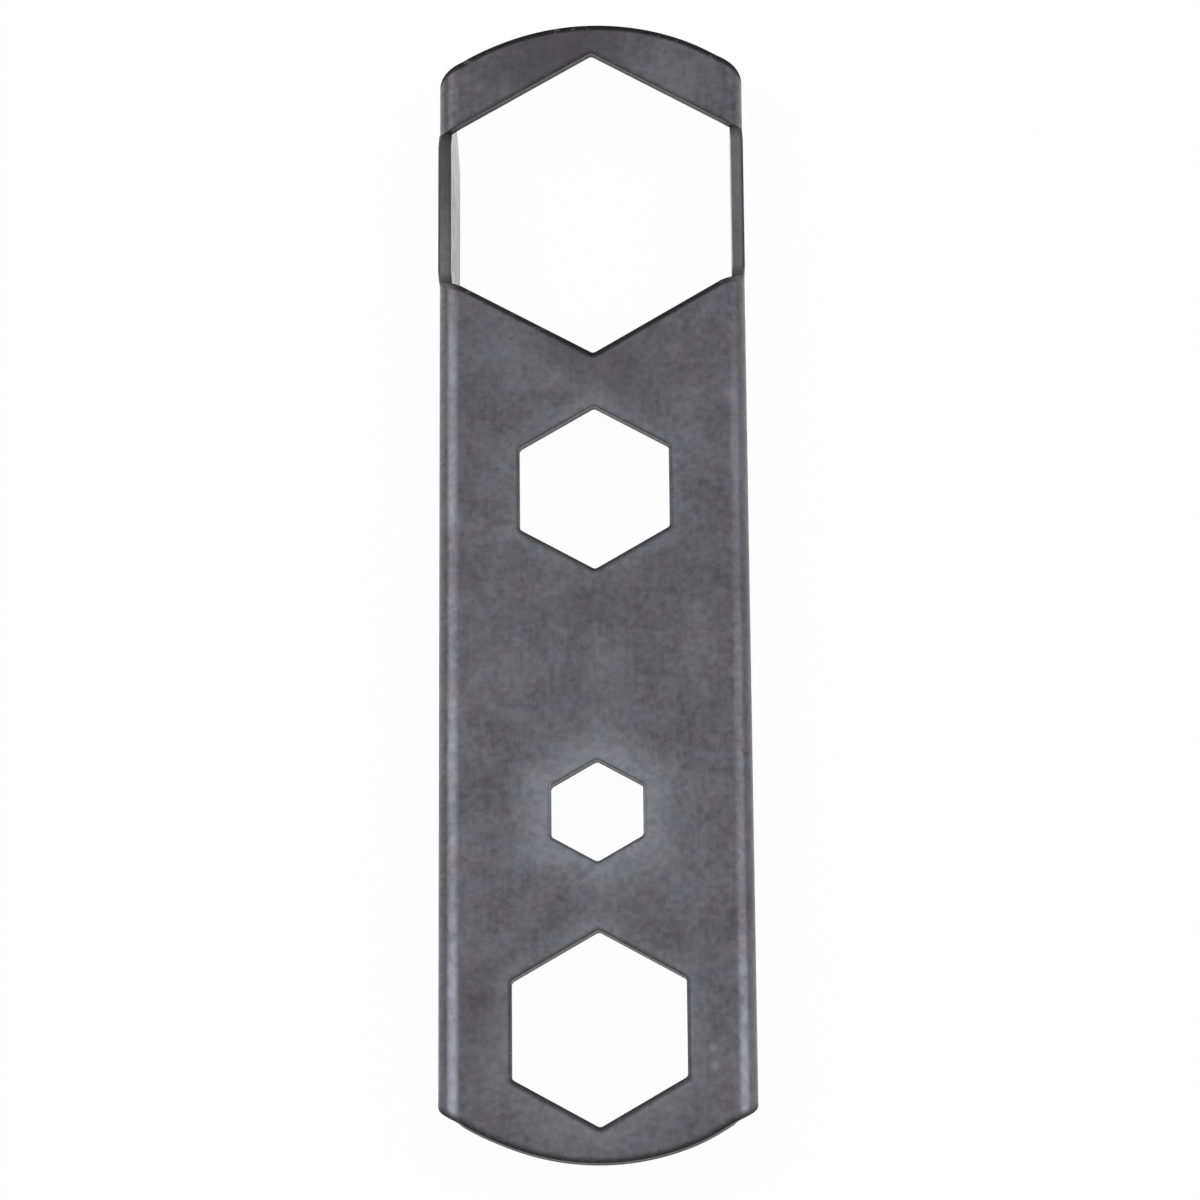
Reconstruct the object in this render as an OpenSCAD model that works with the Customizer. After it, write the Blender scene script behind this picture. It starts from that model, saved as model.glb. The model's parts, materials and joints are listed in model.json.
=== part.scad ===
// Multi-purpose hex wrench, one pressing of sheet steel.
// A flat web carries four hexagonal sockets in line. Both long edges are folded down as flanges,
// and the round ends of the flat blank carry on over the folds and down the flanges.
// The largest socket takes up the whole width between the flanges, so beside it the web is gone
// and only two upright strips of flange are left, with their cut edges facing up.
// Frame: lies on its flange edges at z = 0, origin under the middle of the length,
// x across, y along with the largest socket at the +y end, z up out of the web.

/* [Sheet] */
// Thickness of the steel sheet
sheet_t = 2; // [1.2:0.1:2.5]
// Inside radius of the two folds
fold_inside_r = 1.8; // [1:0.1:3]
// Share of the thickness, from the inside face, where a fold keeps the blank's length
fold_neutral = 0.42; // [0.33:0.01:0.5]
// Height of the flanges over the whole part
flange_height = 13.5; // [9:0.5:16]

/* [Blank] */
// Length over the two round ends
body_length = 189; // [170:1:260]
// Radius of the round ends, in the flat blank
end_r = 38.5; // [37:0.5:60]

/* [Sockets] */
// Across flats of socket A, the largest, which is also the width inside the flanges
socket_a_flats = 45.2; // [42:0.1:49]
// Across flats of socket B, next to the largest
socket_b_flats = 24; // [18:0.1:32]
// Across flats of socket C, the smallest
socket_c_flats = 14.5; // [10:0.1:20]
// Across flats of socket D, at the far end
socket_d_flats = 27.2; // [20:0.1:34]
// Radius in the corners of the sockets
corner_r = 0.8; // [0.2:0.1:1.5]

/* [Webs between the sockets] */
// Metal between the round end and the nearest corner of socket A
web_end_a = 4.8; // [3:0.1:12]
// Metal between the nearest corners of sockets A and B
web_ab = 8.8; // [4:0.1:20]
// Metal between the nearest corners of sockets C and D
web_cd = 10.7; // [4:0.1:20]
// Metal between the nearest corner of socket D and its round end
web_end_d = 5.5; // [3:0.1:12]

/* [Hidden] */
$fn = 96;
// Overshoot of every cutting solid past the faces that it cuts, and how far the strips reach into the flanges
cut_over = 1;
// The folds
fold_outside_r = fold_inside_r + sheet_t;
fold_length = PI / 2 * (fold_inside_r + fold_neutral * sheet_t);
inner_half = socket_a_flats / 2;
body_width = socket_a_flats + 2 * sheet_t;
flat_half = inner_half - fold_inside_r;
// In the blank a point of a flange lies this much further from the centre line than it lies below the web
blank_shift = flat_half + fold_length - fold_outside_r;
straight_flange = flange_height - fold_outside_r;
// The strips beside socket A: its flats lie in the flanges' inside faces
strip_length = flat_length(socket_a_flats);
strip_top = flange_height - (inner_half - blank_shift);
// Centres of the sockets along y
socket_a_y = body_length / 2 - web_end_a - half_corners(socket_a_flats);
socket_b_y = socket_a_y - half_corners(socket_a_flats) - web_ab - half_corners(socket_b_flats);
socket_d_y = -body_length / 2 + web_end_d + half_corners(socket_d_flats);
socket_c_y = socket_d_y + half_corners(socket_d_flats) + web_cd + half_corners(socket_c_flats);

// Half the distance across the corners of a hexagon, and the length of one of its flats
function half_corners(flats) = flats / sqrt(3);
function flat_length(flats) = flats / sqrt(3);
// Unit step in a direction given in degrees
function toward(angle) = [cos(angle), sin(angle)];

// Upright outline with a flat foot and two round top corners, for the outside and inside of the channel
module arched(half_width, height, top_r) {
    translate([-half_width, 0])
        square([2 * half_width, height - top_r]);
    translate([top_r - half_width, 0])
        square([2 * (half_width - top_r), height]);
    for (side = [-1, 1])
        translate([side * (half_width - top_r), height - top_r])
            circle(top_r);
}

// Cross-section of the folded sheet, x across and y up
module channel_section() {
    difference() {
        arched(body_width / 2, flange_height, fold_outside_r);
        translate([0, -cut_over])
            arched(inner_half, flange_height - sheet_t + cut_over, fold_inside_r);
    }
}

// Outline of the blank's two round ends
module round_ended() {
    square([2 * end_r, body_length - 2 * end_r], center = true);
    for (end = [-1, 1])
        translate([0, end * (body_length / 2 - end_r)])
            circle(end_r);
}

// Hexagon with rounded corners, two of them on the y axis
module socket_outline(flats) {
    reach = (flats / 2 - corner_r) / cos(30);
    polygon([
        for (corner = [30:60:330])
            for (turn = [-30, 30])
                reach * toward(corner) + corner_r * toward(corner + turn)
    ]);
    for (corner = [30:60:330])
        translate(reach * toward(corner))
            circle(corner_r);
}

// Outline in the cross-section of everything on the web's side of the 45 degree line of each fold
module web_side() {
    mitre = fold_outside_r + cut_over;
    polygon([
        [-flat_half, straight_flange],
        [flat_half, straight_flange],
        [flat_half + mitre, straight_flange + mitre],
        [-flat_half - mitre, straight_flange + mitre]
    ]);
}

// The folded channel. The blank's round ends are cut square through the web and square through the
// flanges, and the two cuts meet half way round each fold.
module folded_sheet() {
    intersection() {
        rotate([90, 0, 0])
            linear_extrude(body_length, center = true)
                channel_section();
        translate([0, 0, -cut_over])
            linear_extrude(flange_height + 2 * cut_over)
                round_ended();
        union() {
            rotate([90, 0, 0])
                linear_extrude(body_length + 2 * cut_over, center = true)
                    web_side();
            translate([0, 0, flange_height + blank_shift])
                rotate([0, 90, 0])
                    linear_extrude(body_width + 2 * cut_over, center = true)
                        round_ended();
        }
    }
}

// Everything above the straight flanges, over the length of socket A's flats
module fold_window() {
    translate([0, socket_a_y, straight_flange + flange_height / 2])
        cube([body_width + 2 * cut_over, strip_length, flange_height], center = true);
}

// Upright strip that carries a straight flange on upwards beside socket A
module side_strip(side) {
    foot = straight_flange - cut_over;
    translate([side * (inner_half + sheet_t / 2), socket_a_y, foot])
        linear_extrude(strip_top - foot)
            square([sheet_t, strip_length], center = true);
}

module socket_cut(flats, place_y) {
    translate([0, place_y, straight_flange - cut_over])
        linear_extrude(fold_outside_r + 2 * cut_over)
            socket_outline(flats);
}

module wrench_body() {
    color("dimgray")
        difference() {
            union() {
                difference() {
                    folded_sheet();
                    fold_window();
                }
                for (side = [-1, 1])
                    side_strip(side);
            }
            socket_cut(socket_a_flats, socket_a_y);
            socket_cut(socket_b_flats, socket_b_y);
            socket_cut(socket_c_flats, socket_c_y);
            socket_cut(socket_d_flats, socket_d_y);
        }
}

wrench_body();
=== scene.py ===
import functools
import json
import math

import bmesh
import bpy
import numpy as np
from mathutils import Euler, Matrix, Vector


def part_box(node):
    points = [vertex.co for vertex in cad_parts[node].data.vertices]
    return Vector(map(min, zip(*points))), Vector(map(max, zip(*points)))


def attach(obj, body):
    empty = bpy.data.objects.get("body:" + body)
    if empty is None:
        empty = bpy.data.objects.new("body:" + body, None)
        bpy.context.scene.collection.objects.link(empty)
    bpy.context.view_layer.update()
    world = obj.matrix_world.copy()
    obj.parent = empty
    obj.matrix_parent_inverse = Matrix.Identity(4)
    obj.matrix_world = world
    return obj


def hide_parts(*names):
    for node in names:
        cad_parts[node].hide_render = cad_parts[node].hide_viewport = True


# Looks of the multi-purpose hex wrench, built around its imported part.
# The tool is one pressing of dark steel sheet, so there is one visible piece. It is made as the real one
# is: a flat blank with round ends and hexagonal holes is built first, with the rolled edge and the rougher
# break that a punch leaves, and then both long edges are folded down.
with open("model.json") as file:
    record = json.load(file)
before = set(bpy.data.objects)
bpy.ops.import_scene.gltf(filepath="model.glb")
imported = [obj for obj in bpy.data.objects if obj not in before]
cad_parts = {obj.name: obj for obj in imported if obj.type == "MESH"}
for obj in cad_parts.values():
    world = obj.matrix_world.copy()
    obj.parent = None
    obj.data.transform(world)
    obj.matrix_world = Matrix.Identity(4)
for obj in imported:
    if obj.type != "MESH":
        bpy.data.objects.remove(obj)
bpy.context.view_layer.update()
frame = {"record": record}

MM = 0.001
BODY = "wrench_body"

# Sizes in metres. The overall ones and the sockets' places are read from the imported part, and the sockets'
# widths across flats are those of the tool in the photograph. The far end has the largest socket.
low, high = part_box(BODY)
LENGTH = high.y - low.y
WIDTH = high.x - low.x
HEIGHT = high.z
SOCKET_FLATS = {
    "socket_a": 45.2 * MM,
    "socket_b": 23.8 * MM,
    "socket_c": 14.4 * MM,
    "socket_d": 27.1 * MM,
}
SOCKET_Y = {
    mount["name"]: mount["pos_m"][1]
    for mount in frame["record"]["mounts"]
    if mount["name"] in SOCKET_FLATS
}
SHEET = 2.0 * MM
FOLD_INSIDE_R = 1.8 * MM
FOLD_NEUTRAL = 0.42
FAR_END_R = 39.7 * MM
NEAR_END_R = 38.0 * MM
SOCKET_CORNER_R = 0.8 * MM
BLANK_CORNER_R = 1.3 * MM

# Worked out from these: where each fold starts and ends in the flat blank, and where the blank's edge is,
# counted from its centre line
FOLD_OUTSIDE_R = FOLD_INSIDE_R + SHEET
FOLD_NEUTRAL_R = FOLD_INSIDE_R + FOLD_NEUTRAL * SHEET
FLAT_HALF = WIDTH / 2 - FOLD_OUTSIDE_R
FOLD_END = FLAT_HALF + FOLD_NEUTRAL_R * math.pi / 2
FLANGE_TOP = HEIGHT - FOLD_OUTSIDE_R
BLANK_HALF = FOLD_END + FLANGE_TOP
# The strips beside the largest socket: how far from the centre line their cut edges lie in the blank, and
# half their length
STRIP_START = SOCKET_FLATS["socket_a"] / 2
STRIP_HALF = SOCKET_FLATS["socket_a"] / math.sqrt(3) / 2
SOCKET_CENTRE = {name: (0, y) for name, y in SOCKET_Y.items()}
# The last socket is punched a little aside and a little nearer the end
LAST_SOCKET_ASIDE = 0.06 * MM
LAST_SOCKET_NEARER = 0.10 * MM
SOCKET_CENTRE["socket_d"] = (LAST_SOCKET_ASIDE, SOCKET_Y["socket_d"] - LAST_SOCKET_NEARER)

# Marks on the outer face: x, y and radius in millimetres, and strength
DARK_PATCHES = (
    (-5, 90, 18, 0.60),
    (2, 36, 12, 0.36),
    (-16, -72, 13, 0.36),
    (-24, 2, 8, 0.22),
    (-1, -2, 13, 0.12),
    (0, -55, 9, 0.16),
)
LIGHT_PATCHES = ((14, 85, 9, 0.13), (-15, 37, 9, 0.13))
SCUFFS = ((17.6, -76.9, 1.0, 0.36), (17.8, -79.7, 1.2, 0.36), (21.9, 30.0, 1.8, 0.24))
# Painted highlights, partly rubbed wear, on stretches of the folds, dirt on the cut faces of the strips and
# a painted reflection that brightens the end of one strip's inside, written in the same way
FOLD_HIGHLIGHTS_AND_WEAR = (
    (-22.4, 38, 15, 0.26),
    (-22.4, 18, 15, 0.22),
    (-22.4, -32, 16, 0.14),
    (-22.4, -78, 26, 0.36),
    (23.0, 22, 17, 0.22),
    (22.8, -82, 21, 0.34),
)
STRIP_STAINS = ((-23.6, 74, 19, 0.58), (23.6, 56, 10, 0.14))
INSIDE_REFLECTION = ((-22.6, 77, 9, 0.40),)
# Rings of painted sheen round the sockets: strength, and reach in millimetres
SHEEN_RINGS = {"socket_c": (0.54, 10), "socket_b": (0.22, 6), "socket_d": (0.22, 6)}

# What the punch leaves along an edge: a rolled rim, a smooth upper part of the cut, a rougher and slightly
# tapered break below it, and a small chamfer at the foot
ROLL_WIDTH = 0.42 * MM
ROLL_DEPTH = 0.30 * MM
WALL_START = 0.10 * MM
BURNISH_DEPTH = 0.85 * MM
BREAK_TAPER = 0.02 * MM
FOOT_CHAMFER = 0.05 * MM
# Bands of flat metal next to the rim and the foot: the first carries dirt and painted shade, the others keep
# the shading flat
HALO_WIDTH = 0.26 * MM
SUPPORT = 0.45 * MM
FOOT_SUPPORT = 0.9 * MM

# What the press leaves, for the left side (-1) and the right side (1). The flanges lean in at their free
# edges. The strips beside the largest socket spring out at their cut edges, where the left one is thicker.
FLANGE_LEAN = {-1: 0.60 * MM, 1: 0.30 * MM}
STRIP_SPRING = {-1: 0.18 * MM, 1: 0.15 * MM}
STRIP_SPREAD = {-1: 0.07, 1: 0.0}
# The folds lie a little to the left of the sockets, and run further to the left towards the near end. The
# web takes this up between the given distance from its centre line and the fold.
FOLD_SHIFT = {-1: 0.17 * MM, 1: -0.17 * MM}
NEAR_END_SKEW = {-1: 0.36 * MM, 1: -0.16 * MM}
SHIFT_FROM = 14 * MM
# The near end's arc is cut a little aside and a little longer
NEAR_END_ASIDE = 0.45 * MM
NEAR_END_LONGER = 0.09 * MM

# A fold passes into an upright strip over the first length, up to the second length past the strip's end
UPRIGHT_BLEND = 1.0 * MM
UPRIGHT_BEYOND = 0.5 * MM
# Lengths over which a strip springs out, and over which the square cut of its corners fades into the fold
SPRING_BLEND = 2.8 * MM
SQUARED_REACH = 1.2 * MM

# Fineness of the mesh: steps round each curve, the finely cut stretch at each end of a strip, and tolerances
ROLL_STEPS = 5
CORNER_STEPS = 6
END_ARC_STEPS = 44
FOLD_STEPS = 12
BLEND_STEPS = 16
BLEND_CUTS_LENGTH = 1.6 * SPRING_BLEND
MERGE_WITHIN = 0.002 * MM
CUT_TOLERANCE = 0.001 * MM

# How dark the dirt and painted shade are on each rolled edge where it faces the far end, on each rolled
# edge where it faces the near end, and on the cut below where that faces the near end
RIM_SHADE_AND_DIRT = {"blank": 1.0, "socket_a": 1.0, "socket_b": 0.75, "socket_c": 0.5, "socket_d": 0.85}
RIM_SHADE_AND_DIRT_FACING_NEAR = {"blank": 0.7, "socket_a": 0.3, "socket_b": 0.1, "socket_c": 0.05, "socket_d": 0.25}
CUT_SHADE_AND_DIRT = {"blank": 0.72, "socket_a": 0.45, "socket_b": 0.0, "socket_c": 0.0, "socket_d": 0.15}
# Darkening along the foot of every cut, and how dark a rolled edge is where its dirt and painted shade
# begin to spread on the face
FOOT_DARKENING = 0.55
HALO_ABOVE = 0.55
# Painted shade in the corners beside the strips: it lies on the cut there, and the rim is less dark
CORNER_SHADE = 0.75
CORNER_SHADE_REACH = 2.6 * MM
CORNER_RIM_LESS_SHADED = 0.8

# Camera, fitted to the photograph: angles in degrees, and the focal length in pixels of its frame
CAMERA_TILT = 17.988
CAMERA_YAW = 2.5
CAMERA_ROLL = -0.522
CAMERA_DISTANCE = 894.86 * MM
CAMERA_ASIDE = Vector((-0.788 * MM, 3.922 * MM, 0))
FOCAL_PX = 5664.25
FRAME_PX = 1200
SENSOR_MM = 36


def make_camera():
    """Camera above the web's face, tipped towards the end with the smaller sockets."""
    data = bpy.data.cameras.new("camera")
    data.sensor_fit = "HORIZONTAL"
    data.sensor_width = SENSOR_MM
    data.lens = FOCAL_PX / FRAME_PX * SENSOR_MM
    data.clip_start = 0.01
    data.clip_end = 20
    camera = bpy.data.objects.new("camera", data)
    bpy.context.scene.collection.objects.link(camera)
    angles = [math.radians(a) for a in (CAMERA_TILT, CAMERA_YAW, CAMERA_ROLL)]
    turn = Euler(angles, "ZXY")
    camera.rotation_mode = "ZXY"
    camera.rotation_euler = turn
    aim = Vector((0, 0, HEIGHT))
    camera.location = aim - turn.to_matrix() @ (CAMERA_ASIDE - Vector((0, 0, CAMERA_DISTANCE)))
    bpy.context.scene.camera = camera


make_camera()


# Outlines in the flat blank: s across from the centre line, v along it. Each takes the distance
# that the outline is set back into the metal, so that the rings of an edge match point for point.
def arc_points(centre, radius, first_deg, last_deg, steps):
    """Points on an arc, both of its ends among them."""
    points = []
    for k in range(steps + 1):
        angle = math.radians(first_deg + (last_deg - first_deg) * k / steps)
        points.append((centre[0] + radius * math.cos(angle), centre[1] + radius * math.sin(angle)))
    return points


def round_end(radius, set_back):
    """One end of the blank, from one side to the other: an arc with a small corner on each side."""
    arc_centre_v = LENGTH / 2 - radius
    corner_s = BLANK_HALF - BLANK_CORNER_R
    corner_v = arc_centre_v + math.sqrt((radius - BLANK_CORNER_R) ** 2 - corner_s ** 2)
    meet_deg = math.degrees(math.atan2(corner_v - arc_centre_v, corner_s))
    corner = arc_points((corner_s, corner_v), BLANK_CORNER_R - set_back, 0, meet_deg, CORNER_STEPS)
    arc = arc_points((0, arc_centre_v), radius - set_back, meet_deg, 90, END_ARC_STEPS)
    quarter = corner[:-1] + arc
    return quarter + [(-s, v) for s, v in reversed(quarter[:-1])]


def blank_outline(set_back):
    """The blank: straight sides and two round ends."""
    near = [near_end(-s, -v) for s, v in round_end(NEAR_END_R, set_back)]
    return round_end(FAR_END_R, set_back) + near


def near_end(s, v):
    """The near end's arc is cut a little aside and a little longer than the far end's."""
    slope = s / math.sqrt(NEAR_END_R ** 2 - s ** 2)
    return s, v - NEAR_END_LONGER - slope * NEAR_END_ASIDE


def socket_outline(name, set_back):
    """A hexagon with rounded corners, two of them on the centre line."""
    reach = (SOCKET_FLATS[name] / 2 - SOCKET_CORNER_R) / math.cos(math.radians(30))
    middle_s, middle_v = SOCKET_CENTRE[name]
    points = []
    for corner in range(6):
        facing = 30 + 60 * corner
        angle = math.radians(facing)
        centre = (middle_s + reach * math.cos(angle), middle_v + reach * math.sin(angle))
        points += arc_points(centre, SOCKET_CORNER_R + set_back, facing - 30, facing + 30, CORNER_STEPS)
    return points


def edge_profile():
    """Rings of a punched edge: set-back, depth below the outer face, and which part of the edge it is."""
    rings = [
        (ROLL_WIDTH + HALO_WIDTH + SUPPORT, 0, "face"),
        (ROLL_WIDTH + HALO_WIDTH, 0, "halo"),
        (ROLL_WIDTH, 0, "roll"),
    ]
    for k in range(1, ROLL_STEPS + 1):
        angle = math.pi / 2 * k / ROLL_STEPS
        rings.append((ROLL_WIDTH * (1 - math.sin(angle)), ROLL_DEPTH * (1 - math.cos(angle)), "roll"))
    rings.append((0, ROLL_DEPTH + WALL_START, "wall"))
    rings.append((0, BURNISH_DEPTH, "wall"))
    rings.append((BREAK_TAPER, SHEET - FOOT_CHAMFER, "wall"))
    rings.append((BREAK_TAPER + FOOT_CHAMFER, SHEET, "foot"))
    rings.append((BREAK_TAPER + FOOT_CHAMFER + FOOT_SUPPORT, SHEET, "face"))
    return rings


def smooth(t):
    """0 below 0, 1 above 1, and a soft rise between them."""
    t = min(max(t, 0), 1)
    return t * t * (3 - 2 * t)


# Folding: a point of the flat blank, given across, along and below the outer face, in the finished tool
def folded(a, depth, lean):
    """Place in the cross-section, outwards and up, of a point that lies a from the centre line."""
    if a <= FLAT_HALF:
        return a, HEIGHT - depth
    radius = FOLD_OUTSIDE_R - depth
    turned = min((a - FLAT_HALF) / FOLD_NEUTRAL_R, math.pi / 2)
    down = max(a - FOLD_END, 0)
    out = FLAT_HALF + radius * math.sin(turned) - lean * down / FLANGE_TOP
    return out, FLANGE_TOP + radius * math.cos(turned) - down


def squared_corner(a, along, depth, out):
    """How much further out the inside of the sheet lies at the largest socket's square corners."""
    if not FLAT_HALF < a < FOLD_END:
        return 0
    to_corner = max(STRIP_START - a, 0) / math.sqrt(3)
    from_edge = along - STRIP_HALF - to_corner
    return (min(a, WIDTH / 2 - depth) - out) * smooth(1 - from_edge / SQUARED_REACH) * depth / SHEET


def from_cut_edge(a):
    """0 at the cut edge of a strip and nearer the centre line, 1 at the free edge of the flange."""
    return max(a - STRIP_START, 0) / (BLANK_HALF - STRIP_START)


def in_strip(a, depth, side):
    """Place in the cross-section beside the largest socket, where the flange stands up to its cut edge."""
    lean = FLANGE_LEAN[side]
    strip_a = max(a, STRIP_START)
    thicker = 1 + STRIP_SPREAD[side] * (1 - min(2 * from_cut_edge(a), 1)) ** 2
    out = WIDTH / 2 - depth * thicker - lean * max(strip_a - FOLD_END, 0) / FLANGE_TOP
    up = BLANK_HALF - strip_a
    if a >= STRIP_START:
        return out, up
    # The metal between the web and the strip's end is drawn along with the strip
    folded_out, folded_up = folded(a, depth, lean)
    top_out, top_up = folded(STRIP_START, depth, lean)
    share = ((a - FLAT_HALF) / (STRIP_START - FLAT_HALF)) ** (2 - depth / SHEET)
    return folded_out + (out - top_out) * share, folded_up + (up - top_up) * share


def place(s, v, depth):
    """A point of the blank in the finished tool: folded, or in a strip beside the largest socket."""
    side = -1 if s < 0 else 1
    a = abs(s)
    along = abs(v - SOCKET_Y["socket_a"])
    out, up = folded(a, depth, FLANGE_LEAN[side])
    out += squared_corner(a, along, depth, out)
    upright = 1 - smooth((along - STRIP_HALF - UPRIGHT_BEYOND + UPRIGHT_BLEND) / UPRIGHT_BLEND)
    if a > FLAT_HALF and upright > 0:
        strip_out, strip_up = in_strip(a, depth, side)
        out += (strip_out - out) * upright
        up += (strip_up - up) * upright
    # The unsupported strip springs out a little, most at its cut edge
    sprung = 1 - smooth((along - STRIP_HALF + SPRING_BLEND) / SPRING_BLEND)
    onset = smooth((a - FLAT_HALF) / (STRIP_START - FLAT_HALF))
    out += STRIP_SPRING[side] * sprung * onset * (1 - from_cut_edge(a)) ** 2
    # The folds are neither quite parallel to the row of sockets nor quite centred on it
    aside = FOLD_SHIFT[side] + NEAR_END_SKEW[side] * (0.5 - v / LENGTH)
    out += aside * smooth((a - SHIFT_FROM) / (FLAT_HALF - SHIFT_FROM))
    return Vector((side * out, v, up))


def facing_far(outline):
    """How far each point of an edge faces the far end, from -1 to 1."""
    facing = []
    for (s, v), (inner_s, inner_v) in zip(outline(0), outline(ROLL_WIDTH)):
        facing.append((v - inner_v) / math.hypot(s - inner_s, v - inner_v))
    return facing


def dirt_and_shade_at(part, name, facing):
    """Dirt and painted shade on one ring of an edge at a point that faces the far end as given."""
    if part == "wall":
        return CUT_SHADE_AND_DIRT[name] * max(-facing, 0)
    if part == "foot":
        return FOOT_DARKENING
    if part == "face":
        return 0
    least, most = RIM_SHADE_AND_DIRT_FACING_NEAR[name], RIM_SHADE_AND_DIRT[name]
    share = least + (most - least) * (facing + 1) / 2
    if part == "halo":
        share = max(share - HALO_ABOVE, 0) / (1 - HALO_ABOVE)
    return share


def in_strip_corner(s, v):
    """1 at the corners where the strips beside the largest socket begin, falling to 0 around them."""
    across = abs(s) - STRIP_START
    along = abs(v - SOCKET_Y["socket_a"]) - STRIP_HALF
    return smooth(1 - math.hypot(across, along) / CORNER_SHADE_REACH)


def add_edge(bm, name, outline, layers):
    """Rings of one punched edge, joined by faces. Returns the edges of its first and last ring."""
    rings = []
    profile = edge_profile()
    facing = facing_far(outline)
    for set_back, depth, part in profile:
        ring = []
        for faces_far, (s, v) in zip(facing, outline(set_back)):
            vert = bm.verts.new((s, v, -depth))
            # Dirt and painted shade for this ring, darker where the edge faces the far end
            vert[layers["dirt_and_shade"]] = dirt_and_shade_at(part, name, faces_far)
            vert[layers["through"]] = depth / SHEET
            ring.append(vert)
        rings.append(ring)
    count = len(rings[0])
    for upper, lower, (_, _, part) in zip(rings, rings[1:], profile[1:]):
        for k in range(count):
            after = (k + 1) % count
            face = bm.faces.new((upper[k], upper[after], lower[after], lower[k]))
            face.material_index = 1 if part == "wall" else 0
    ends = []
    for ring in (rings[0], rings[-1]):
        ends.append([bm.edges.get((ring[k], ring[(k + 1) % count])) for k in range(count)])
    return ends


def shade_corner_cuts(bm, layers):
    """Moves the dirt and painted shade from the roll to the cut face in the corners beside the strips."""
    for vert in bm.verts:
        corner = in_strip_corner(vert.co.x, vert.co.y)
        dirt_and_shade = vert[layers["dirt_and_shade"]]
        if -vert.co.z <= ROLL_DEPTH:
            vert[layers["dirt_and_shade"]] = dirt_and_shade * (1 - CORNER_RIM_LESS_SHADED * corner)
        elif -vert.co.z < SHEET - FOOT_CHAMFER / 2:
            vert[layers["dirt_and_shade"]] = max(dirt_and_shade, CORNER_SHADE * corner)


def slice_mesh(bm, on_plane, normal, outside=0.0):
    """Cuts by a plane the faces that lie at least outside metres from the centre line."""
    faces = [f for f in bm.faces if min(abs(vert.co.x) for vert in f.verts) > outside - CUT_TOLERANCE]
    edges = {edge for f in faces for edge in f.edges}
    verts = {vert for f in faces for vert in f.verts}
    geometry = list(verts) + list(edges) + faces
    bmesh.ops.bisect_plane(bm, geom=geometry, dist=CUT_TOLERANCE, plane_co=on_plane, plane_no=normal)


def cut_lines(bm):
    """Cuts the blank along the folds, down the flanges and beside the strips, so that it can bend there."""
    for side in (-1, 1):
        for k in range(FOLD_STEPS + 1):
            across = side * (FLAT_HALF + (FOLD_END - FLAT_HALF) * k / FOLD_STEPS)
            slice_mesh(bm, Vector((across, 0, 0)), Vector((1, 0, 0)))
        slice_mesh(bm, Vector((side * (FOLD_END + BLANK_HALF) / 2, 0, 0)), Vector((1, 0, 0)))
    for side in (-1, 1):
        for k in range(BLEND_STEPS + 1):
            beyond = BLEND_CUTS_LENGTH * (k / BLEND_STEPS - 0.5)
            along = SOCKET_Y["socket_a"] + side * (STRIP_HALF + beyond)
            slice_mesh(bm, Vector((0, along, 0)), Vector((0, 1, 0)), FLAT_HALF)


def make_body():
    """The whole sheet: its punched edges, the flat faces between them, and then the folds."""
    bm = bmesh.new()
    layers = {name: bm.verts.layers.float.new(name) for name in ("dirt_and_shade", "through")}
    outlines = {"blank": blank_outline}
    for name in SOCKET_FLATS:
        outlines[name] = functools.partial(socket_outline, name)
    tops, feet = [], []
    for name, outline in outlines.items():
        top, foot = add_edge(bm, name, outline, layers)
        tops += top
        feet += foot
    bmesh.ops.triangle_fill(bm, edges=tops, use_beauty=True, normal=(0, 0, 1))
    bmesh.ops.triangle_fill(bm, edges=feet, use_beauty=True, normal=(0, 0, -1))
    cut_lines(bm)
    bmesh.ops.remove_doubles(bm, verts=bm.verts[:], dist=MERGE_WITHIN)
    bmesh.ops.recalc_face_normals(bm, faces=bm.faces[:])
    shade_corner_cuts(bm, layers)
    for vert in bm.verts:
        vert.co = place(vert.co.x, vert.co.y, -vert.co.z)
    mesh = bpy.data.meshes.new("wrench_sheet")
    bm.to_mesh(mesh)
    bm.free()
    shade_by_area(mesh)
    piece = bpy.data.objects.new("wrench_sheet", mesh)
    bpy.context.scene.collection.objects.link(piece)
    return piece


def shade_by_area(mesh):
    """Smooth shading in which the large faces decide, so that flat stays flat up to a rolled edge."""
    never_zero = 1e-12
    mesh.shade_smooth()
    weighted = np.zeros((len(mesh.vertices), 3))
    for polygon in mesh.polygons:
        weighted[list(polygon.vertices)] += np.array(polygon.normal) * polygon.area
    lengths = np.linalg.norm(weighted, axis=1, keepdims=True)
    mesh.normals_split_custom_set_from_vertices(weighted / np.maximum(lengths, never_zero))


# Noise hardly leaves this range
NOISE_LOW = 0.3
NOISE_HIGH = 0.7


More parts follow.
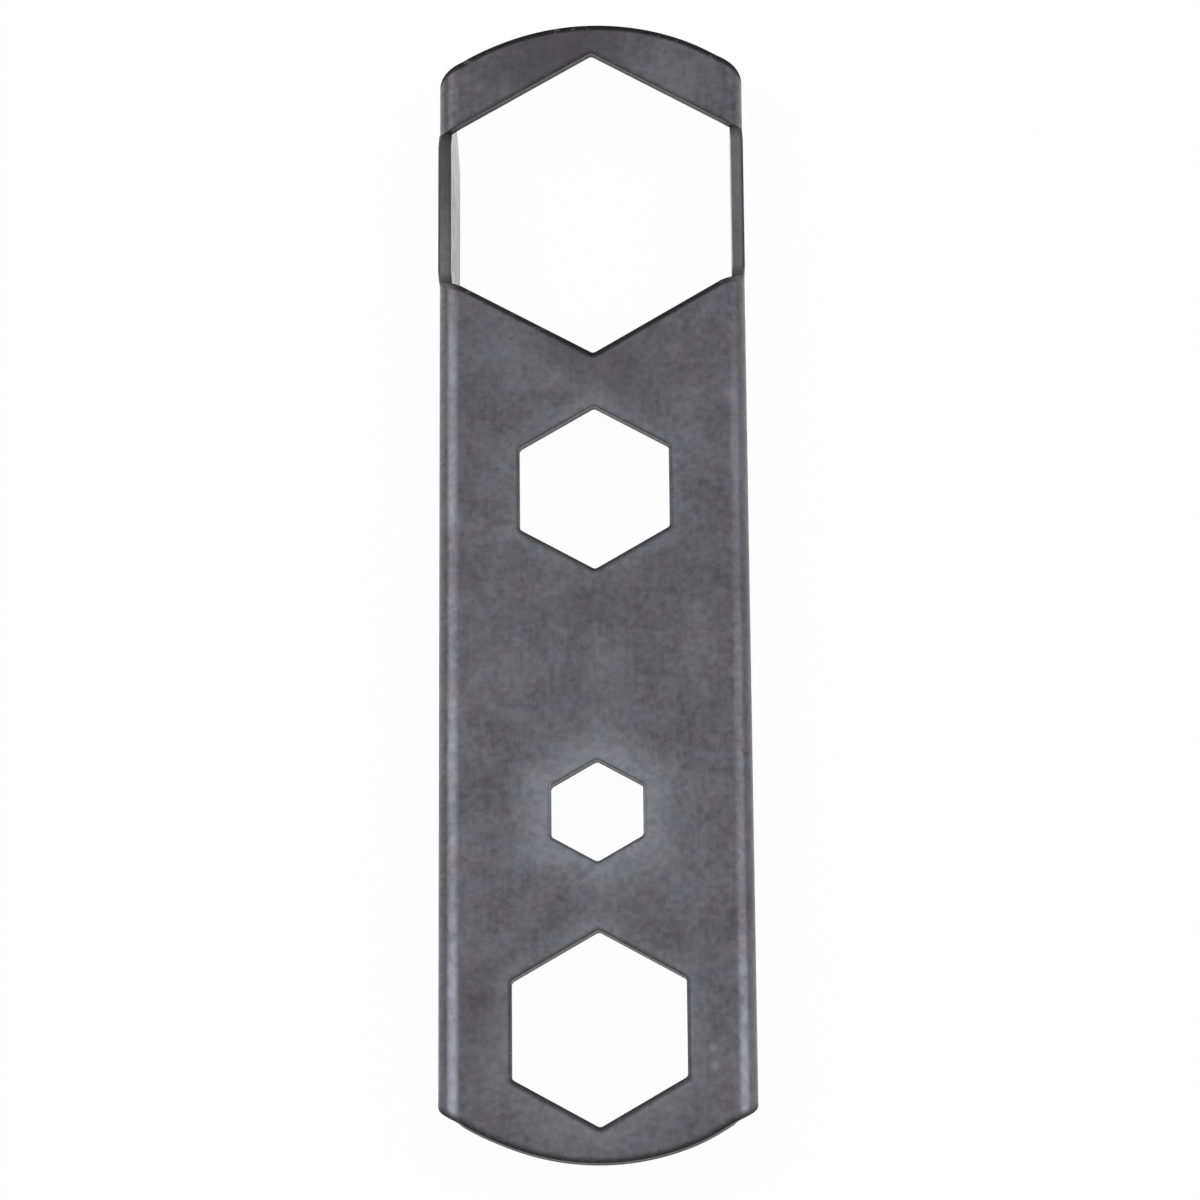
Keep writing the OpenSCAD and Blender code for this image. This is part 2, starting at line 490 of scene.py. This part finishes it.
class Shader:
    """Short calls for the nodes of one material."""

    # Places of the colour sockets on a Mix node
    MIX_FIRST = 6
    MIX_SECOND = 7
    MIX_RESULT = 2

    def __init__(self, name):
        self.material = bpy.data.materials.new(name)
        self.material.use_nodes = True
        self.nodes = self.material.node_tree.nodes
        self.links = self.material.node_tree.links
        self.nodes.clear()
        self.output = self.nodes.new("ShaderNodeOutputMaterial")
        self.object_coords = self.nodes.new("ShaderNodeTexCoord").outputs["Object"]

    def join(self, value, socket):
        """Links a node's output to a socket, or sets the socket to a number or colour."""
        if isinstance(value, bpy.types.NodeSocket):
            self.links.new(value, socket)
        else:
            socket.default_value = value

    def stretched(self, scale):
        """Object coordinates, scaled along each axis so that noise on them comes out stretched."""
        node = self.nodes.new("ShaderNodeMapping")
        node.inputs["Scale"].default_value = scale
        self.links.new(self.object_coords, node.inputs["Vector"])
        return node.outputs["Vector"]

    def noise(self, size, detail, roughness, coords=None, distortion=0):
        """Noise whose features are about size metres across."""
        node = self.nodes.new("ShaderNodeTexNoise")
        node.inputs["Scale"].default_value = 1 / size
        node.inputs["Detail"].default_value = detail
        node.inputs["Roughness"].default_value = roughness
        node.inputs["Distortion"].default_value = distortion
        self.links.new(coords or self.object_coords, node.inputs["Vector"])
        return node.outputs["Fac"]

    def math(self, operation, first, second=0.0, third=None):
        node = self.nodes.new("ShaderNodeMath")
        node.operation = operation
        self.join(first, node.inputs[0])
        self.join(second, node.inputs[1])
        if third is not None:
            self.join(third, node.inputs[2])
        return node.outputs[0]

    def ramp(self, value, from_low, from_high, to_low=0.0, to_high=1.0, soft=True):
        """The value carried from one range to another and held at its ends."""
        node = self.nodes.new("ShaderNodeMapRange")
        node.interpolation_type = "SMOOTHSTEP" if soft else "LINEAR"
        limits = {"From Min": from_low, "From Max": from_high, "To Min": to_low, "To Max": to_high}
        for name, number in limits.items():
            node.inputs[name].default_value = number
        self.links.new(value, node.inputs["Value"])
        return node.outputs["Result"]

    def blend(self, share, first, second):
        """The first colour where share is 0, the second where it is 1."""
        node = self.nodes.new("ShaderNodeMix")
        node.data_type = "RGBA"
        self.join(share, node.inputs["Factor"])
        self.join(first, node.inputs[self.MIX_FIRST])
        self.join(second, node.inputs[self.MIX_SECOND])
        return node.outputs[self.MIX_RESULT]

    def coat(self, colour, over, where, strength):
        """The colour under another one, which is as strong as given where the mask is 1."""
        return self.blend(self.math("MULTIPLY", where, strength), colour, over)

    def attribute(self, name):
        node = self.nodes.new("ShaderNodeAttribute")
        node.attribute_name = name
        return node.outputs["Fac"]

    def axes(self):
        node = self.nodes.new("ShaderNodeSeparateXYZ")
        self.links.new(self.object_coords, node.inputs[0])
        return node.outputs

    def beside_socket(self, name, reach):
        """1 at the edge of a hexagonal socket, falling to 0 at reach metres from it."""
        x, y, _ = self.axes()
        along = self.math("SUBTRACT", y, SOCKET_Y[name])
        steep = self.math("MULTIPLY", along, math.sin(math.radians(60)))
        half_x = self.math("MULTIPLY", x, math.cos(math.radians(60)))
        slanted = self.math("ADD", self.math("ABSOLUTE", half_x), self.math("ABSOLUTE", steep))
        farthest = self.math("MAXIMUM", self.math("ABSOLUTE", x), slanted)
        flat = SOCKET_FLATS[name] / 2
        return self.ramp(farthest, flat, flat + reach, 1, 0)

    def spot(self, x, y, radius, ragged):
        """1 at a place given in millimetres, falling to 0 at about radius. A noise makes the edge ragged."""
        across, along, _ = self.axes()
        across = self.math("SUBTRACT", across, x * MM)
        along = self.math("SUBTRACT", along, y * MM)
        squared = self.math("MULTIPLY_ADD", along, along, self.math("MULTIPLY", across, across))
        straight = self.math("SQRT", squared)
        distance = self.math("MULTIPLY", straight, self.ramp(ragged, NOISE_LOW, NOISE_HIGH, 0.75, 1.3))
        full_within = 0.15 * radius * MM
        return self.ramp(distance, full_within, radius * MM, 1, 0)

    def patched(self, colour, patches, ragged, towards, where=1.0):
        """The colour with each listed patch blended towards another colour, only where the mask allows."""
        for x, y, radius, strength in patches:
            share = self.math("MULTIPLY", self.spot(x, y, radius, ragged), strength)
            share = self.math("MULTIPLY", share, where)
            colour = self.blend(share, colour, towards)
        return colour

    def bump(self, height, strength, distance, normal=None):
        node = self.nodes.new("ShaderNodeBump")
        node.inputs["Strength"].default_value = strength
        node.inputs["Distance"].default_value = distance
        self.links.new(height, node.inputs["Height"])
        if normal:
            self.links.new(normal, node.inputs["Normal"])
        return node.outputs["Normal"]

    def principled(self, colour, metallic, roughness, normal):
        node = self.nodes.new("ShaderNodeBsdfPrincipled")
        self.join(colour, node.inputs["Base Color"])
        self.join(metallic, node.inputs["Metallic"])
        self.join(roughness, node.inputs["Roughness"])
        self.join(normal, node.inputs["Normal"])
        self.links.new(node.outputs[0], self.output.inputs["Surface"])


# Colours of the skin. The oxide has a dark and a bright tone, bluish in places and brownish in others.
BLUISH_OXIDE = ((0.073, 0.073, 0.081, 1), (0.146, 0.147, 0.163, 1))
BROWNISH_OXIDE = ((0.076, 0.072, 0.076, 1), (0.149, 0.145, 0.155, 1))
# The darker tone of the listed dark patches
DARKER_TONE = (0.050, 0.046, 0.048, 1)
OXIDE_PITS = (0.055, 0.053, 0.055, 1)
# A lighter tone, for the painted sheen round the sockets, the painted highlights on the folds and lighter
# patches
LIGHTER_STEEL = (0.255, 0.26, 0.285, 1)
DRAWN_STEEL = (0.23, 0.23, 0.245, 1)
SCUFFED_STEEL = (0.31, 0.27, 0.285, 1)
NICKED_STEEL = (0.30, 0.29, 0.29, 1)
# Painted lighter tone of the faces inside the channel
INSIDE_LIGHTENED_STEEL = (0.27, 0.265, 0.27, 1)
# Painted reflection on part of the left strip's inside
INSIDE_REFLECTION_COLOUR = (0.62, 0.61, 0.61, 1)
# The dark of the dirt and painted shade on the rolled edges
DIRT_AND_SHADE_ON_EDGES = (0.012, 0.012, 0.013, 1)


def oxide(shader, broad, clouds, grain):
    """Mottled oxide, finely streaked along the tool."""
    streaks = shader.noise(1.0, detail=3, roughness=0.6, coords=shader.stretched((1500, 160, 1500)))
    tone = shader.math("MULTIPLY", broad, 0.34)
    for layer, weight in ((clouds, 0.20), (grain, 0.30), (streaks, 0.12)):
        tone = shader.math("MULTIPLY_ADD", layer, weight, tone)
    level = shader.ramp(tone, 0.365, 0.595, soft=False)
    bluish = shader.blend(level, *BLUISH_OXIDE)
    brownish = shader.blend(level, *BROWNISH_OXIDE)
    hue = shader.noise(6 * MM, detail=2, roughness=0.5, coords=shader.stretched((1, 1.6, 1)))
    return shader.blend(shader.ramp(hue, 0.38, 0.62), bluish, brownish)


def sheen_round_sockets(shader, colour, grain):
    """The colour with rings of painted sheen round the sockets."""
    for name, (strength, reach) in SHEEN_RINGS.items():
        sheen = shader.math("POWER", shader.beside_socket(name, reach * MM), 1.5)
        uneven = shader.ramp(grain, NOISE_LOW, NOISE_HIGH, 0.75 * strength, 1.15 * strength)
        colour = shader.blend(shader.math("MULTIPLY", sheen, uneven), colour, LIGHTER_STEEL)
    return colour


def on_folds(shader, across):
    """1 on the crest of each fold, 0 beside it."""
    crest = FLAT_HALF + 1.7 * MM
    inner = shader.ramp(across, crest - 1.2 * MM, crest - 0.3 * MM)
    outer = shader.ramp(across, crest + 0.4 * MM, crest + 2.1 * MM, 1, 0)
    return shader.math("MULTIPLY", inner, outer)


def drawn_lines(shader, across):
    """Faint lines that the folding tool draws down the flanges."""
    on_flange = shader.ramp(across, WIDTH / 2 - 1.4 * MM, WIDTH / 2 - 0.4 * MM)
    lines = shader.noise(1.0, detail=3, roughness=0.6, coords=shader.stretched((50, 1300, 50)))
    return shader.math("MULTIPLY", shader.ramp(lines, 0.40, 0.66), on_flange)


def shaded_dirty_edges(shader, colour, dirt_and_shade):
    """The colour with the rolled edges dark with dirt and painted shade, and a few bright nicks in them."""
    colour = shader.coat(colour, DIRT_AND_SHADE_ON_EDGES, where=dirt_and_shade, strength=0.95)
    nicks = shader.ramp(shader.noise(1.6 * MM, detail=4, roughness=0.7), 0.60, 0.70)
    return shader.coat(colour, NICKED_STEEL, where=shader.math("MULTIPLY", nicks, dirt_and_shade), strength=0.35)


def steel_skin():
    """Dark satin steel as it left the press: mottled oxide, fine grain, with painted sheen round the
    sockets.
    """
    shader = Shader("steel_skin")
    broad = shader.noise(9 * MM, detail=3, roughness=0.55)
    clouds = shader.noise(2.6 * MM, detail=3, roughness=0.6)
    grain = shader.noise(1.0 * MM, detail=2, roughness=0.5)
    colour = oxide(shader, broad, clouds, grain)
    colour = shader.patched(colour, DARK_PATCHES, broad, DARKER_TONE)
    colour = shader.patched(colour, LIGHT_PATCHES, broad, LIGHTER_STEEL)
    # Painted sheen in rings round the sockets
    colour = sheen_round_sockets(shader, colour, grain)
    across = shader.math("ABSOLUTE", shader.axes()[0])
    # Painted highlights along the fold crests, partly rubbed wear
    colour = shader.patched(colour, FOLD_HIGHLIGHTS_AND_WEAR, clouds, LIGHTER_STEEL, on_folds(shader, across))
    drawn = drawn_lines(shader, across)
    colour = shader.coat(colour, DRAWN_STEEL, where=drawn, strength=0.15)
    pits = shader.ramp(shader.noise(0.9 * MM, detail=2, roughness=0.5, distortion=0.6), 0.66, 0.74)
    colour = shader.coat(colour, OXIDE_PITS, where=pits, strength=0.35)
    colour = shader.patched(colour, SCUFFS, grain, SCUFFED_STEEL)
    # Dirt and painted shade on the rolled edges, with a few bright nicks
    dirt_and_shade = shader.attribute("dirt_and_shade")
    colour = shaded_dirty_edges(shader, colour, dirt_and_shade)
    # The faces inside the channel are painted lighter, as a painted reflection of the white floor, and keep
    # the rolled sheet's finer finish
    through = shader.attribute("through")
    colour = shader.coat(colour, INSIDE_LIGHTENED_STEEL, where=through, strength=0.35)
    # A painted reflection brightens part of the left strip's inside
    colour = shader.patched(colour, INSIDE_REFLECTION, broad, INSIDE_REFLECTION_COLOUR, through)
    finer = shader.math("MULTIPLY", through, 0.11)
    roughness = shader.math("SUBTRACT", shader.ramp(clouds, NOISE_LOW, NOISE_HIGH, 0.30, 0.40), finer)
    roughness = shader.math("MULTIPLY_ADD", dirt_and_shade, 0.25, roughness)
    roughness = shader.math("MULTIPLY_ADD", drawn, -0.05, roughness)
    normal = shader.bump(grain, strength=0.25, distance=0.03 * MM)
    normal = shader.bump(clouds, strength=0.25, distance=0.06 * MM, normal=normal)
    shader.principled(colour, metallic=0.8, roughness=roughness, normal=normal)
    return shader.material


# Colours of the cut. Its smooth upper part and its broken lower part each have two tones for their lines.
BURNISHED_CUT = ((0.125, 0.121, 0.125, 1), (0.185, 0.180, 0.185, 1))
BROKEN_CUT = ((0.125, 0.117, 0.120, 1), (0.205, 0.193, 0.197, 1))
BROWN_STAINS = (0.100, 0.082, 0.078, 1)
STRIP_DIRT = (0.028, 0.025, 0.026, 1)
# The dark of the painted shade lines on the strips' cut faces
STRIP_LINE_SHADE = (0.030, 0.026, 0.027, 1)
# The dark of the dirt and painted shade on the cut
DIRT_AND_SHADE_ON_CUT = (0.016, 0.015, 0.015, 1)


def strip_shade_lines(shader):
    """Dark lines of painted shade along the inside of the left strip's cut face and the outside of the right
    one's.
    """
    across = shader.axes()[0]
    inside = -STRIP_START
    outside = WIDTH / 2
    left = shader.ramp(across, inside - 0.9 * MM, inside - 0.1 * MM, 0, 0.6)
    left = shader.math("MULTIPLY", left, shader.ramp(across, inside + 0.1 * MM, inside + 0.3 * MM, 1, 0))
    right = shader.ramp(across, outside - 1.0 * MM, outside - 0.1 * MM, 0, 0.5)
    return shader.math("ADD", left, right)


def cut_steel():
    """The punched edge: brownish and rough below, with fine lines through the thickness."""
    shader = Shader("cut_steel")
    lines = shader.noise(1.0, detail=2, roughness=0.6, coords=shader.stretched((1600, 1600, 260)))
    stains = shader.noise(2.2 * MM, detail=3, roughness=0.6)
    through = shader.attribute("through")
    broken = shader.ramp(through, 0.30, 0.55)
    smooth_part = shader.blend(lines, *BURNISHED_CUT)
    rough_part = shader.blend(lines, *BROKEN_CUT)
    colour = shader.blend(broken, smooth_part, rough_part)
    colour = shader.blend(shader.ramp(stains, 0.5, 0.75, 0, 0.5), colour, BROWN_STAINS)
    colour = shader.patched(colour, STRIP_STAINS, stains, STRIP_DIRT)
    # Painted shade lines along the strips' cut faces
    colour = shader.blend(strip_shade_lines(shader), colour, STRIP_LINE_SHADE)
    # Dirt and painted shade on the cut, darkest where it faces the near end and in the corners beside the
    # strips
    colour = shader.coat(colour, DIRT_AND_SHADE_ON_CUT, where=shader.attribute("dirt_and_shade"), strength=0.9)
    roughness = shader.ramp(broken, 0, 1, 0.42, 0.66)
    normal = shader.bump(lines, strength=0.35, distance=0.04 * MM)
    shader.principled(colour, metallic=0.6, roughness=roughness, normal=normal)
    return shader.material


body = make_body()
body.data.materials.append(steel_skin())
body.data.materials.append(cut_steel())
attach(body, "root")
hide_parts(BODY)


# Studio: a white floor that keeps a faint shadow, a grey room, a soft box overhead and a strip on each side
FLOOR_SIZE = 3.0
FLOOR_DROP = 0.05 * MM
FLOOR_COLOUR = (0.98, 0.98, 0.98, 1)
FLOOR_WHITE_SHARE = 0.975
ROOM_GREY = (0.44, 0.44, 0.455, 1)
BACKDROP_WHITE = (1, 1, 1, 1)
STRIP_LIGHT = (0.99, 0.98, 1.03)


def make_floor():
    """A plain floor, white where it is seen directly and otherwise matt, so that a faint shadow stays."""
    mesh = bpy.data.meshes.new("floor")
    half = FLOOR_SIZE / 2
    corners = [(-half, -half, 0), (half, -half, 0), (half, half, 0), (-half, half, 0)]
    mesh.from_pydata(corners, [], [(0, 1, 2, 3)])
    floor = bpy.data.objects.new("floor", mesh)
    floor.location.z = -FLOOR_DROP
    bpy.context.scene.collection.objects.link(floor)
    material = bpy.data.materials.new("floor_white")
    material.use_nodes = True
    nodes, links = material.node_tree.nodes, material.node_tree.links
    nodes.clear()
    seen = seen_directly(nodes, links)
    share = nodes.new("ShaderNodeMath")
    share.operation = "MULTIPLY"
    share.inputs[1].default_value = FLOOR_WHITE_SHARE
    links.new(seen, share.inputs[0])
    matte = nodes.new("ShaderNodeBsdfDiffuse")
    matte.inputs["Color"].default_value = FLOOR_COLOUR
    white = nodes.new("ShaderNodeEmission")
    mixer = nodes.new("ShaderNodeMixShader")
    links.new(share.outputs[0], mixer.inputs[0])
    links.new(matte.outputs[0], mixer.inputs[1])
    links.new(white.outputs[0], mixer.inputs[2])
    output = nodes.new("ShaderNodeOutputMaterial")
    links.new(mixer.outputs[0], output.inputs["Surface"])
    mesh.materials.append(material)


def seen_directly(nodes, links):
    """1 for a camera, glossy or transmission ray, so that metal shows the same background as the camera."""
    path = nodes.new("ShaderNodeLightPath")
    total = path.outputs["Is Camera Ray"]
    for name in ("Is Glossy Ray", "Is Transmission Ray"):
        either = nodes.new("ShaderNodeMath")
        either.operation = "MAXIMUM"
        links.new(total, either.inputs[0])
        links.new(path.outputs[name], either.inputs[1])
        total = either.outputs[0]
    return total


def make_world():
    """A grey room that lights the tool, with a white backdrop for the camera."""
    world = bpy.data.worlds.new("studio")
    world.use_nodes = True
    nodes, links = world.node_tree.nodes, world.node_tree.links
    nodes.clear()
    room = nodes.new("ShaderNodeBackground")
    room.inputs["Color"].default_value = ROOM_GREY
    backdrop = nodes.new("ShaderNodeBackground")
    backdrop.inputs["Color"].default_value = BACKDROP_WHITE
    path = nodes.new("ShaderNodeLightPath")
    mixer = nodes.new("ShaderNodeMixShader")
    links.new(path.outputs["Is Camera Ray"], mixer.inputs[0])
    links.new(room.outputs[0], mixer.inputs[1])
    links.new(backdrop.outputs[0], mixer.inputs[2])
    output = nodes.new("ShaderNodeOutputWorld")
    links.new(mixer.outputs[0], output.inputs["Surface"])
    bpy.context.scene.world = world


def add_lamp(name, azimuth, elevation, distance, size, radiance, colour=(1, 1, 1)):
    """Rectangular soft box that faces the tool. Azimuth is counted from +X towards +Y."""
    data = bpy.data.lights.new(name, "AREA")
    data.shape = "RECTANGLE"
    data.size, data.size_y = size
    data.color = colour
    data.energy = radiance * math.pi * size[0] * size[1]
    lamp = bpy.data.objects.new(name, data)
    azimuth, elevation = math.radians(azimuth), math.radians(elevation)
    flat = distance * math.cos(elevation)
    lamp.location = (flat * math.cos(azimuth), flat * math.sin(azimuth), distance * math.sin(elevation))
    lamp.rotation_euler = lamp.location.to_track_quat("Z", "Y").to_euler()
    bpy.context.scene.collection.objects.link(lamp)


make_floor()
make_world()
add_lamp("overhead", azimuth=90, elevation=83, distance=1.5, size=(1.5, 1.5), radiance=0.70)
add_lamp(
    "left_strip", azimuth=162, elevation=39, distance=1.3,
    size=(0.45, 1.10), radiance=3.3, colour=STRIP_LIGHT,
)
add_lamp(
    "right_strip", azimuth=10, elevation=35, distance=1.3,
    size=(0.38, 1.10), radiance=3.4, colour=STRIP_LIGHT,
)

bpy.context.scene.view_settings.view_transform = "Standard"
